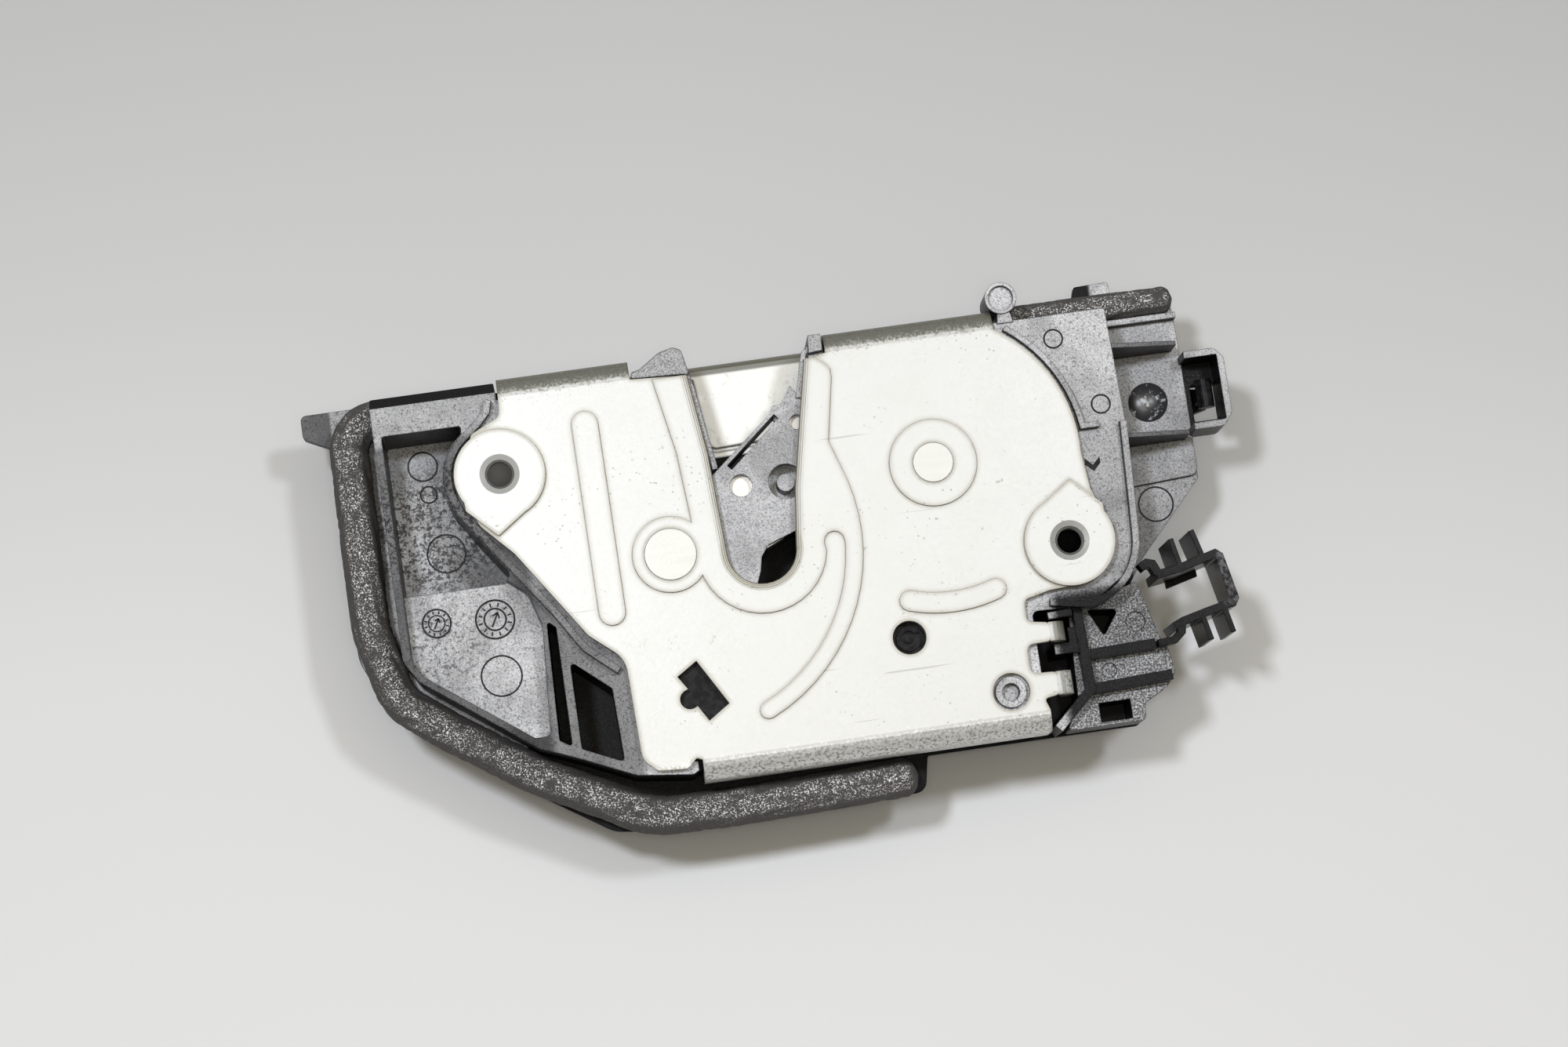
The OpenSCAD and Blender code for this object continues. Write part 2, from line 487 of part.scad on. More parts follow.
module catch_rivet() color([0.85, 0.84, 0.8]) {
    post(catch_c, catch_pin_d / 2, base_z, face_z + emboss_h + 0.2);
    post(catch_c, 3.5, back_z - e, base_z + e);
    post(catch_c, 5, back_z - head_h, back_z);
}

module pawl_rivet() color([0.85, 0.84, 0.8]) {
    post(pawl_c, pawl_pin_d / 2, base_z, face_z + emboss_h + 0.2);
    post(pawl_c, 2.5, back_z - e, base_z + e);
    post(pawl_c, 4, back_z - head_h, back_z);
}

// A torsion spring: turns round c, with a leg from each end
module torsion_spring(c, r, wire, turns, z, a0, leg_a, leg_b) {
    turn_steps = 16;
    coil = [for (i = [0:turns * turn_steps]) [c[0] + r * cos(a0 + 360 * i / turn_steps),
        c[1] + r * sin(a0 + 360 * i / turn_steps), z + (wire + 0.1) * i / turn_steps]];
    rod(concat([[leg_a[0], leg_a[1], z]], coil, [[leg_b[0], leg_b[1], z + (wire + 0.1) * turns]]), wire / 2, 6);
}

module catch_spring() color([0.5, 0.5, 0.5]) torsion_spring(catch_c, catch_pin_d / 2 + 1.9, 0.9, 2, base_z + 0.7, 180,
    catch_c + [-catch_pin_d / 2 - 1.9, 12], catch_c + [-catch_pin_d / 2 - 1.9, -7]);

module pawl_spring() color([0.5, 0.5, 0.5]) torsion_spring(pawl_c, 4.6, 0.6, 2, catch_mid + pawl_t / 2 + 0.6, 0,
    pawl_c + [4.6, 12], pawl_c + [4.6, -8]);

module catch_buffer() color([0.08, 0.08, 0.08]) slab(chamber_z, bed_z - 0.4, [[-37.8, 20], [-36.4, 20],
    [-35.98, 17.6], [-34.58, 10.2], [-33.62, 5.2], [-37, 4.2], [-39.6, 5.8], [-37.8, 10]]);

// Outline of the pawl about its pivot, as it rides on the catch
pawl_pts = rounded([[-5.6, 3, 0.5], [-9.3, -17.6, 6], [-13.6, -26.8, 3], [-16.2, -32, 0.4], [-13, -33.3, 0.4],
    [-8.8, -34, 2], [-4.6, -31.6, 3], [-3, -20, 6], [5.6, -3, 0.5]]);

module pawl() color([0.6, 0.59, 0.57]) difference() {
    union() {
        translate([pawl_x, pawl_y, 0]) slab(catch_mid - pawl_t / 2, catch_mid + pawl_t / 2, pawl_pts);
        post(pawl_c, 6.6, catch_mid - pawl_t / 2, catch_mid + pawl_t / 2);
    }
    post(pawl_c, pawl_pin_d / 2 + run_fit, chamber_z, 1);
}

module pawl_jacket() color([0.14, 0.14, 0.15]) {
    post([18, -25.3], 3.2, catch_mid + pawl_t / 2, bed_z - 1.2);
    difference() {
        post([18, -25.3], 2.1, bed_z - 1.3, bed_z - 0.4);
        post([18, -25.3], 1.4, bed_z - 1.3, 0);
        slab(bed_z - 1.3, 0, [[18, -26.2], [22, -26.2], [22, -24.4], [18, -24.4]]);
    }
    post([18, -25.3], 0.7, bed_z - 1.3, bed_z - 0.4);
}

module release_lever() color([0.75, 0.74, 0.7]) difference() {
    union() {
        post(pawl_c, 6, base_z + 0.4, under_z - gap);
        translate([pawl_x, pawl_y, 0]) slab(base_z + 0.4, under_z - gap, rounded([[-6, 0, 1], [-2.4, -20, 1],
            [3, -20, 1], [10, -6, 2], [6, 0, 1]]));
    }
    post(pawl_c, pawl_pin_d / 2 + run_fit, back_z, 1);
}

// Places in the actuator: the motor's axis, the worm wheel's, the locking lever's and the inside lever's
drive_z = (case_z + case_t + back_z) / 2;
drive_y = -30;
worm_x = -3;
worm_l = 14;
wheel_r = gear_module * wheel_teeth / 2;
wheel_c = [worm_x + worm_l / 2, drive_y + worm_d / 2 + wheel_r];
wheel_t = 5;
crank_r = 8;
crank_d = 3;
lock_c = wheel_c + [32, 0];
inside_c = [67.5, 11.7];
lever_z = drive_z + wheel_t / 2 + gap;
lever_t = 2.4;
pin_d = 3;
pins_x = [17.5 : 4 : 29.5];
screw_at = [[-35, 18.5], [-35.4, -35.4], [69.4, 18.6], [37.4, -37]];

// A cylinder along +X from the drive line
module along_x(x, r, l) translate([x, drive_y, drive_z]) rotate([0, 90, 0]) cylinder(r = r, h = l);

module actuator_case() color([0.11, 0.11, 0.12]) difference() {
    union() {
        difference() {
            slab(case_z, back_z, case_pts);
            slab(case_z + case_t, back_z + 1, rounded([[-38.5, 22.2, 1], [-38.5, -34, 3], [-31.4, -40.2, 3],
                [39.4, -40.2, 3], [44.6, -18, 5], [59.6, -14, 4], [72, -2, 2], [73, 22.2, 1]]));
        }
        for (c = screw_at) post(c, 3.4, case_z, back_z);
        for (c = [wheel_c, lock_c, inside_c]) post(c, 3.6, case_z, case_z + 4);
        post(wheel_c, 2.6, case_z + 3, drive_z - wheel_t / 2 - gap);
        for (c = [lock_c, inside_c]) post(c, 2.6, case_z + 3, lever_z - gap);
        translate([14, -42.2, case_z]) cube([19, 9.8, 13]);
    }
    for (c = [wheel_c, lock_c, inside_c]) post(c, pin_d / 2 + 0.02, case_z + 1, 0);
    for (c = screw_at) {
        post(c, 1.52, case_z - 1, 0);
        post(c, 2.9, case_z - 1, case_z + 1.6);
    }
    translate([15.5, -43, case_z + 1.6]) cube([16, 9, 9.8]);
    for (x = pins_x) translate([x - 0.42, -35, case_z + 5.08]) cube([0.84, 8, 2.84]);
    slab(lever_z - gap, back_z + 1, [[70, 17.4], [80, 17.4], [80, 6], [70, 6]]);
}

module motor() color([0.7, 0.7, 0.68]) difference() {
    union() {
        along_x(worm_x - 2.6 - motor_l, motor_d / 2, motor_l);
        along_x(worm_x - 2.6 - e, 2.4, 1.6);
    }
    along_x(worm_x - 8, 1 + run_fit, 10);
}

// The worm's thread: a ridge of trapezium section wound on its core
module worm_thread(turns, steps) {
    pitch = PI * gear_module;
    root_r = worm_d / 2 - 1.2 * gear_module;
    tip_r = worm_d / 2 + 0.8 * gear_module;
    section = [[root_r - 0.3, -0.3 * pitch], [tip_r, -0.12 * pitch], [tip_r, 0.12 * pitch],
        [root_r - 0.3, 0.3 * pitch]];
    n = turns * steps;
    pts = [for (i = [0:n], p = section) let (a = 360 * i / steps)
        [pitch * i / steps + p[1], p[0] * cos(a), p[0] * sin(a)]];
    sides = [for (i = [0:n - 1], k = [0:3]) let (a = 4 * i + k, b = 4 * i + (k + 1) % 4)
        each [[a, b, a + 4], [b, b + 4, a + 4]]];
    translate([worm_x + worm_l / 2 - turns * pitch / 2, drive_y, drive_z])
        polyhedron(pts, concat(sides, [[3, 2, 1, 0]], [[for (k = [0:3]) 4 * n + k]]));
}

module worm() color([0.9, 0.88, 0.8]) {
    along_x(worm_x - 7, 1, worm_l + 8);
    along_x(worm_x, worm_d / 2 - 1.2 * gear_module, worm_l);
    worm_thread(5, 20);
}

module worm_wheel() color([0.93, 0.92, 0.88]) translate([wheel_c[0], wheel_c[1], drive_z]) difference() {
    union() {
        cylinder(r = wheel_r - 1.3 * gear_module, h = wheel_t, center = true);
        for (i = [0:wheel_teeth - 1]) rotate([0, 0, 360 * i / wheel_teeth - 90])
            translate([wheel_r - 1.3 * gear_module, 0, 0])
            rotate([-atan(gear_module / worm_d), 0, 0]) translate([0, 0, -wheel_t / 2])
            linear_extrude(wheel_t) polygon([[-0.4, -0.62], [2 * gear_module, -0.2], [2 * gear_module, 0.2],
                [-0.4, 0.62]]);
        translate([crank_r, 0, 0]) cylinder(d = crank_d, h = wheel_t / 2 + gap + lever_t);
        cylinder(d = pin_d + 4, h = wheel_t + 0.2, center = true);
    }
    cylinder(d = pin_d + 2 * run_fit, h = 20, center = true);
    for (i = [0:5]) rotate([0, 0, 60 * i + 30]) translate([7.4, 0, wheel_t / 2 - 1.2]) cylinder(r = 2.4, h = 2);
}

module wheel_pin() color([0.75, 0.75, 0.73]) {
    post(wheel_c, pin_d / 2, case_z + 1, back_z);
    post(lock_c, pin_d / 2, case_z + 1, back_z);
}

module locking_lever() color([0.9, 0.89, 0.84]) difference() {
    union() {
        translate([0, 0, lever_z]) linear_extrude(lever_t) polygon(concat(
            [for (p = arc([0, 0], 4.4, -68, 68, 6)) lock_c + p],
            [lock_c + [-1, 14], lock_c + [-5, 14], lock_c + [-4, 5], wheel_c + [crank_r - 2, 3.4],
             wheel_c + [crank_r - 5.4, 2.4], wheel_c + [crank_r - 5.4, -2.4], wheel_c + [crank_r - 2, -3.4]]));
    }
    post(lock_c, pin_d / 2 + run_fit, lever_z - 1, 0);
    slab(lever_z - 1, 0, [for (p = [[-3, -1], [3, -1], [3, 1], [-3, 1]])
        wheel_c + [crank_r, 0] + [p[0], p[1] * (crank_d / 2 + 0.35)]]);
}

module inside_lever() color([0.86, 0.85, 0.8]) difference() {
    union() {
        slab(lever_z, lever_z + lever_t, rounded([[63.4, 14.6, 2], [63.4, 8.4, 2], [68, 7.6, 2], [79, 10, 0.6],
            [79, 13.4, 0.6], [68, 15, 2]]));
        translate([inside_c[0] + 8.7, inside_c[1] - 1.2, lever_z + 1]) cube([2.8, 2.4, 8.4]);
        translate([inside_c[0] + 10.1, inside_c[1] - 2.5, lever_z + 9]) rotate([-90, 0, 0]) cylinder(r = 1.5, h = 5);
    }
    post(inside_c, pin_d / 2 + run_fit, lever_z - 1, 0);
}

module lever_pin() color([0.16, 0.16, 0.16]) {
    post(inside_c, pin_d / 2, case_z + 1, base_z + 1.8);
    translate([inside_c[0], inside_c[1], base_z + 1]) intersection() {
        cylinder(r = 3.5, h = 3);
        translate([0, 0, -7]) sphere(r = 8);
    }
}

module ajar_switch() color([0.1, 0.1, 0.1]) difference() {
    union() {
        slab(chamber_z, bed_z - 0.1, [[-28.1, -38.6], [-22.8, -38.6], [-22.8, -27.4], [-28.1, -27.4]]);
        slab(bed_z - edge_strip, bed_z - 0.1, [[-23, -36], [-17.6, -36], [-13.4, -31.6], [-17.8, -23.2], [-23, -27]]);
    }
    translate([-25.4, -33, catch_mid]) rotate([0, 90, 0]) cylinder(r = 1.05, h = 5);
}

module switch_plunger() color([0.85, 0.2, 0.15]) translate([-24.2, -33, catch_mid]) rotate([0, 90, 0]) {
    cylinder(r = 1, h = 6);
    translate([0, 0, 6 - e]) intersection() {
        cylinder(r = 1, h = 1.2);
        translate([0, 0, -0.4]) sphere(r = 1.5);
    }
}

module contact_pins() color([0.9, 0.78, 0.4]) for (x = pins_x)
    translate([x - 0.4, -40.4, case_z + 5.1]) cube([0.8, 9, 2.8]);

module foam_seal() color([0.24, 0.24, 0.23]) rod([for (p = foam_line) [p[0], p[1], base_z + seal_r + 0.02]],
    seal_r, 14);
foam_line = rounded([[17, foot_y - 3.4, 0], [12, foot_y - 3.7, 0], [-18, foot_y - 4.5, 20], [-30, foot_y - 4.2, 16],
    [-49.4, -38.3, 40], [-61.6, -29.9, 40], [-70.9, -22.7, 9], [-73.9, -10, 12], [-73.9, 5, 0],
    [-73.6, 27.2, 5.5], [-65, 27.2, 0]], 8);

module foam_strip() color([0.24, 0.24, 0.23]) rod([for (x = [44.4, 46, 72, 74.4]) [x, 26.9 + strip_r,
    base_z + strip_r + 0.02]], strip_r, 14);

// Centre line of the clip's deep frame, round the cable
clip_line = [[62.4, -20.2], [66.5, -19.6], [70.8, -18.5], [73.1, -17.9], [73.8, -18.5], [75.3, -26],
    [74.8, -26.8], [70.5, -27.7], [65.9, -28.8], [64.2, -29.5]];

// Centre lines of the fins that stiffen the frame
clip_fins = [[[66.7, -18.9], [65.8, -14.3]], [[70.8, -17.9], [69.6, -13.3]], [[69.3, -28.4], [70.2, -32.7]],
    [[73.3, -27.6], [74.2, -31.9]]];

module cable_clip() color([0.07, 0.07, 0.07]) {
    strip(clip_line, 1.5, base_z, clip_z);
    strip([[59.8, -18.6], [61, -17.9], [62, -18.2], [62.8, -20.1]], 1.5, end_z, clip_z);
    strip([[65.6, -28.9], [65.3, -30.6], [63.9, -31.8], [60.9, -32]], 1.3, end_z, clip_z);
    for (f = clip_fins) strip(f, 0.9, base_z, clip_z);
    slab(base_z, base_z + 1.6, [[65.4, -19.6], [71.1, -18.2], [71.2, -20.3], [65.6, -21.7]]);
}

module case_screws() color([0.72, 0.72, 0.7]) for (c = screw_at) {
    post(c, 1.5, case_z + 0.4, back_z - 1);
    difference() {
        post(c, 2.8, case_z + 0.2, case_z + 1.6);
        post(c, 1, case_z, case_z + 0.9);
    }
}

lock_plate();
latch_housing();
mouth_liner();
back_plate();
catch_core();
catch_jacket();
catch_rivet();
catch_spring();
catch_buffer();
pawl();
pawl_jacket();
pawl_rivet();
pawl_spring();
release_lever();
actuator_case();
motor();
worm();
worm_wheel();
wheel_pin();
locking_lever();
inside_lever();
lever_pin();
ajar_switch();
switch_plunger();
contact_pins();
foam_seal();
foam_strip();
cable_clip();
case_screws();
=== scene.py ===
import bpy
import numpy as np
from mathutils import Matrix, Vector


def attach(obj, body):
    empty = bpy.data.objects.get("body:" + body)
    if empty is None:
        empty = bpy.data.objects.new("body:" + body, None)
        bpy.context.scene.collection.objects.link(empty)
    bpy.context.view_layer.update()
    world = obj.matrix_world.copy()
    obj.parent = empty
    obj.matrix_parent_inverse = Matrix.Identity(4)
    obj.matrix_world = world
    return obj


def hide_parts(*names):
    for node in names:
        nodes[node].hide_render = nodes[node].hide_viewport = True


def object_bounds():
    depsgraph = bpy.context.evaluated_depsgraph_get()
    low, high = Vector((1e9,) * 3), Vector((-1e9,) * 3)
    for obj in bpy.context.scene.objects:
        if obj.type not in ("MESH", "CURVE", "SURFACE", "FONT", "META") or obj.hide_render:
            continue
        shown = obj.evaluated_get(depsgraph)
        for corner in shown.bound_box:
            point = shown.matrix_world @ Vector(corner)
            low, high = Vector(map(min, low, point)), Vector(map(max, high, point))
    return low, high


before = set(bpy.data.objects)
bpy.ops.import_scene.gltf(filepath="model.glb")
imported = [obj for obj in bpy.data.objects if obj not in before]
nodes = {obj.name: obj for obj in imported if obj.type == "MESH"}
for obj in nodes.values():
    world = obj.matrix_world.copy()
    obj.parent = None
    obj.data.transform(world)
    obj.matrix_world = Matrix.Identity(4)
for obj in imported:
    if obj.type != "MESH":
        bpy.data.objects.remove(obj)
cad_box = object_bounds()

# TABLE AND CAMERA. A pale sheet that the latch lies on. The camera looks down on the lock plate
# from 0.7 m, turned about 8 degrees, with three small flashes round it and a large soft lamp
# above. The shader workshop, which every finish is written with, comes in here.


class Shade:
    """A socket in a node tree. Arithmetic on it adds the Math nodes that the expression needs."""

    def __init__(self, tree, socket):
        self.tree, self.socket = tree, socket

    def maths(self, operation, *values):
        """One Math node: the operation on the values, each a number or another Shade."""
        node = self.tree.nodes.new("ShaderNodeMath")
        node.operation = operation
        for slot, value in zip(node.inputs, values):
            join(self.tree, slot, value)
        return Shade(self.tree, node.outputs[0])

    def __add__(self, other):
        return self.maths("ADD", self, other)

    def __radd__(self, other):
        return self.maths("ADD", other, self)

    def __sub__(self, other):
        return self.maths("SUBTRACT", self, other)

    def __rsub__(self, other):
        return self.maths("SUBTRACT", other, self)

    def __mul__(self, other):
        return self.maths("MULTIPLY", self, other)

    def __rmul__(self, other):
        return self.maths("MULTIPLY", other, self)

    def __truediv__(self, other):
        return self.maths("DIVIDE", self, other)

    def __pow__(self, other):
        return self.maths("POWER", self, other)

    def __abs__(self):
        return self.maths("ABSOLUTE", self)

    def most(self, other):
        """The greater of the two, which joins two masks."""
        return self.maths("MAXIMUM", self, other)

    def step(self, low, high):
        """0 at low, 1 at high and a smooth rise between them; low may be the greater."""
        node = self.tree.nodes.new("ShaderNodeMapRange")
        node.interpolation_type = "SMOOTHSTEP"
        ends = (low, high, 0.0, 1.0) if low < high else (high, low, 1.0, 0.0)
        for slot, value in zip(node.inputs, (self, *ends)):
            join(self.tree, slot, value)
        return Shade(self.tree, node.outputs[0])

    def span(self, low, high):
        """The same rise for a place or a distance, with its two ends in mm."""
        return self.step(low / 1000, high / 1000)


def join(tree, slot, value):
    """Links a Shade to an input socket, or sets a plain value on it."""
    if isinstance(value, Shade):
        tree.links.new(value.socket, slot)
    elif hasattr(slot.default_value, "__len__") and len(value) == 3 and len(slot.default_value) == 4:
        slot.default_value = (*value, 1.0)
    else:
        slot.default_value = value


class Finish:
    """A material of one Principled shader, and the nodes that its colour, gloss and relief come from."""

    def __init__(self, name, **fixed):
        self.material = bpy.data.materials.new(name)
        self.material.use_nodes = True
        self.tree = self.material.node_tree
        self.shader = self.tree.nodes["Principled BSDF"]
        self.place = self.node("ShaderNodeTexCoord", out="Object")
        self.x, self.y, self.z = (self.part(letter, self.place) for letter in "XYZ")
        self.set(**fixed)

    def node(self, kind, settings=None, out=0, **values):
        """Any other node: its settings first, then the values or links of its sockets, by name."""
        node = self.tree.nodes.new(kind)
        for key, value in (settings or {}).items():
            if key == "stops":
                ramp = node.color_ramp
                while len(ramp.elements) < len(value):
                    ramp.elements.new(0.5)
                for element, (position, colour) in zip(ramp.elements, value):
                    element.position, element.color = position, (*colour, 1.0)
            else:
                setattr(node, key, value)
        for key, value in values.items():
            slot = node.inputs[int(key[3:])] if key.startswith("in_") else node.inputs[key.replace("_", " ")]
            join(self.tree, slot, value)
        return Shade(self.tree, node.outputs[out])

    def part(self, letter, vector):
        """The X, Y or Z of a vector."""
        return self.node("ShaderNodeSeparateXYZ", out=letter, Vector=vector)

    def noise(self, scale, detail=3.0, roughness=0.55, at=None):
        """Cloudy noise from 0 to 1, mostly 0.35 to 0.65; scale is in cells a metre."""
        return self.node("ShaderNodeTexNoise", Vector=at or self.place, Scale=scale, Detail=detail,
                         Roughness=roughness)

    def cells(self, scale):
        """Distance to the nearest of scattered points, with scale cells a metre."""
        return self.node("ShaderNodeTexVoronoi", out="Distance", Vector=self.place, Scale=scale,
                         Randomness=1.0)

    def stretched(self, x, y, z, turn=0.0):
        """The place with each axis scaled, for marks that run one way."""
        return self.node("ShaderNodeMapping", Vector=self.place, Scale=(x, y, z), Rotation=(0, 0, turn))

    def facing_up(self):
        """The Z of the surface's direction: 1 on a face that looks up, 0 on an upright wall."""
        return self.part("Z", self.node("ShaderNodeNewGeometry", out="Normal"))

    def near(self, centre, reach, fade):
        """1 within reach of a point of the plane, in mm, and 0 from reach + fade on."""
        away = ((self.x - centre[0] / 1000) ** 2.0 + (self.y - centre[1] / 1000) ** 2.0) ** 0.5
        return away.span(reach + fade, reach)

    def eased(self, radius):
        """The direction that the surface would have if its edges were rounded to the radius, in mm."""
        return self.node("ShaderNodeBevel", {"samples": 6}, Radius=radius / 1000)

    def edges(self, eased, strength):
        """1 along the edges that the eased direction rounds, 0 on flat ground: 1 less their dot product."""
        flat = self.node("ShaderNodeNewGeometry", out="True Normal")
        along = self.node("ShaderNodeVectorMath", {"operation": "DOT_PRODUCT"}, out="Value",
                          in_0=eased, in_1=flat)
        return (1.0 - along).step(0.0, strength)

    def mix(self, share, under, over):
        """The colour under where the share is 0, and the colour over where it is 1."""
        return self.node("ShaderNodeMix", {"data_type": "RGBA"}, out=2, in_0=share, in_6=under, in_7=over)

    def relief(self, height, depth, over=None):
        """Bumps from a height of 0 to 1, depth in mm, over an eased direction if there is one."""
        base = {"Normal": over} if over else {}
        bumps = self.node("ShaderNodeBump", Height=height, Distance=depth / 1000, Strength=1.0, **base)
        self.set(Normal=bumps)

    def set(self, **values):
        """Sets or links sockets of the Principled shader, by name."""
        for key, value in values.items():
            join(self.tree, self.shader.inputs[key.replace("_", " ")], value)

    def on(self, *pieces):
        """Gives the finish to each piece, in place of what it had."""
        for piece in pieces:
            piece.data.materials.clear()
            piece.data.materials.append(self.material)


eye = (-0.037229, -0.088066, 0.693445)
right, up, back = (0.98896, -0.14414, 0.03450), (0.13866, 0.98202, 0.12807), (-0.05234, -0.12187, 0.99117)
focal_px, photo_w, sensor_w = 5180.0, 2000.0, 36.0

camera = bpy.data.objects.new("camera", bpy.data.cameras.new("camera"))
camera.matrix_world = Matrix((*zip(right, up, back, eye), (0, 0, 0, 1)))
camera.data.sensor_width = sensor_w
camera.data.lens = sensor_w * focal_px / photo_w
camera.data.clip_start = 0.01
bpy.context.scene.collection.objects.link(camera)
bpy.context.scene.camera = camera

lowest, sheet_reach = cad_box[0][2], 3
sheet_corners = [(sheet_reach * side, sheet_reach * end, lowest)
                 for side, end in ((-1, -1), (1, -1), (1, 1), (-1, 1))]
table_mesh = bpy.data.meshes.new("table")
table_mesh.from_pydata(sheet_corners, [], [(0, 1, 2, 3)])
table = bpy.data.objects.new("table", table_mesh)
bpy.context.scene.collection.objects.link(table)

# Painted light fall-off: the sheet's colour goes from near white in front to grey behind, and greyer again
# to both sides
front_edge, sheet_run, lean, side_fall, middle_x = -0.10, 0.24, 0.14, 0.36, -0.01
sheet = Finish("table_sheet", Roughness=0.6, Specular_IOR_Level=0.2)
painted_light_falloff = (sheet.y + sheet.x * lean - front_edge) / sheet_run + abs(sheet.x - middle_x) * side_fall
sheet.set(Base_Color=sheet.node("ShaderNodeValToRGB", {"stops": [
    (0.0, (0.93, 0.93, 0.945)), (0.35, (0.85, 0.85, 0.858)), (0.62, (0.70, 0.70, 0.705)),
    (1.0, (0.55, 0.55, 0.55))]}, Fac=painted_light_falloff))
sheet.on(table)


def lamp(name, place, size, watts, colour):
    """A round soft lamp of a size in metres, turned to face the origin."""
    light = bpy.data.lights.new(name, "AREA")
    light.shape, light.size, light.energy, light.color = "DISK", size, watts, colour
    piece = bpy.data.objects.new(name, light)
    piece.rotation_mode = "QUATERNION"
    piece.rotation_quaternion = (-Vector(place)).to_track_quat("-Z", "Y")
    piece.location = place
    bpy.context.scene.collection.objects.link(piece)


warm_room, warm_flash, cool_flash = (1.0, 0.88, 0.58), (1.0, 0.97, 0.92), (0.885, 0.925, 1.0)
soft_size, flash_size = 0.9, 0.10
lamp("lamp_overhead", (0.06, 0.15, 1.15), soft_size, 2.1, warm_room)
lamp("flash_front", (-0.03, -0.10, 0.75), flash_size, 0.5, warm_flash)
lamp("flash_left", (-0.24, 0.15, 0.95), flash_size, 4.0, cool_flash)
lamp("flash_right", (0.30, 0.15, 0.92), flash_size, 2.2, cool_flash)

world = bpy.data.worlds.new("room")
bpy.context.scene.world = world
world.use_nodes = True
world.node_tree.nodes["Background"].inputs["Color"].default_value = (0.15, 0.143, 0.118, 1)
bpy.context.scene.view_settings.view_transform = "Standard"

# LATCH HOUSING. The one-piece moulding that carries everything: glass-filled black nylon with a
# fine spark-eroded grain. Faces towards the door carry a pale grey that is painted sheen with some
# wear, and painted glints along their edges; the walls stay black, and chambers, deep floors and
# edges get painted shade. The mould leaves round ejector marks and date clocks on its wings.

nylon, sheen_and_wear_grey = (0.008, 0.008, 0.009), (0.90, 0.90, 0.935)
black_gloss = 0.07

moulding = Finish("black_moulding", Specular_IOR_Level=black_gloss)
grain = moulding.noise(4200, 2.0, 0.6).step(0.38, 0.62)
cloud = moulding.noise(90, 2.0, 0.6).step(0.36, 0.64)
specks = moulding.noise(2300, 3.0, 0.6).step(0.56, 0.62)
glitter = moulding.noise(3000, 3.0, 0.7).step(0.44, 0.62)
soft_edge = moulding.eased(0.35)
edge_lines = moulding.edges(soft_edge, 0.25)

# Places on the moulding, as masks of 0 to 1, with the ends of each in mm
x, y, z = moulding.x, moulding.y, moulding.z
on_left = x.span(-44.0, -46.0)
at_face = z.span(-3.5, -2.9)
below = z.span(-8.8, -10.4)
chamber_side = x.span(-46.8, -45.5).most(x.span(-50.2, -49.6) * y.span(-11.0, -11.8))
in_chamber = below * x.span(60.8, 60.0) * chamber_side
in_guard = z.span(-10.2, -11.2) * x.span(74.3, 74.7)
painted_depth_shade = (1.0 - z.span(-17.2, -9.5)) * (0.04 + 0.10 * on_left)
painted_shade_down_right = x.span(40.0, 50.0) * y.span(23.0, 2.0)
left_rims = on_left * (at_face * y.span(21.5, 19.5)).most(x.span(-76.2, -76.8))
left_band = on_left * at_face * y.span(19.5, 21.5)
lower_ribs = at_face * x.span(-29.0, -31.0) * x.span(-53.5, -50.5) * y.span(-4.0, -11.0)
painted_wing_shade = on_left * z.span(-9.5, -12.0) * x.span(-63.0, -53.0)
gussets = x.span(60.4, 60.8) * z.span(-17.0, -16.6) * z.span(-10.4, -10.8) * y.span(25.4, 25.0)
at_block = x.span(42.5, 44.5) * y.span(-20.0, -22.5)
block_bars = at_block * z.span(-7.5, -6.8)
upper_stain = moulding.noise(1200, 4.0, 0.75).step(0.49, 0.55) * moulding.near((-60.5, 6), 7, 9)
lower_stain = moulding.noise(1000, 4.0, 0.75).step(0.53, 0.58) * moulding.near((-62, -15), 4, 6) * 0.8
stains = upper_stain.most(lower_stain)

# The pale grey, painted sheen with some wear, lies on faces that look towards the door, and each
# place loses a share of it; in the chambers, the guard, deeper down, on the deep wing floor, between
# the gussets, towards the lower right and along edges that loss is painted shade
sheen_and_wear_film = moulding.facing_up().step(0.80, 0.97)
for place, loss in ((in_chamber, 1.0), (in_guard, 1.0), (painted_depth_shade, 1.0), (painted_shade_down_right, 0.34),
                    (painted_wing_shade, 0.42), (gussets, 0.9), (left_rims, 0.74), (left_band, 0.25),
                    (lower_ribs, 0.62), (at_block, 0.30), (block_bars, 0.97), (edge_lines, 0.9),
                    (stains, 0.8), (specks, 0.5)):
    sheen_and_wear_film = sheen_and_wear_film * (1.0 - loss * place)
sheen_and_wear_film = sheen_and_wear_film * (0.66 + 0.34 * cloud)
sheen_and_wear_film = sheen_and_wear_film * ((0.62 + 0.38 * grain) * (1.0 - at_block) + (0.30 + 1.35 * glitter) * at_block)
# Painted highlights: grey glints along the rounded edges of faces that look towards the door
fine_edges = moulding.edges(moulding.eased(0.2), 0.3) * moulding.facing_up().step(0.3, 0.6)
painted_glints = fine_edges * grain * (0.35 + 0.65 * on_left) * (1.0 - below) * 0.7
moulding.set(Base_Color=moulding.mix(sheen_and_wear_film.most(painted_glints), nylon, sheen_and_wear_grey), Roughness=0.26 + 0.16 * grain)
moulding.relief(grain, 0.012, soft_edge)
moulding.on(nodes["latch_housing"])


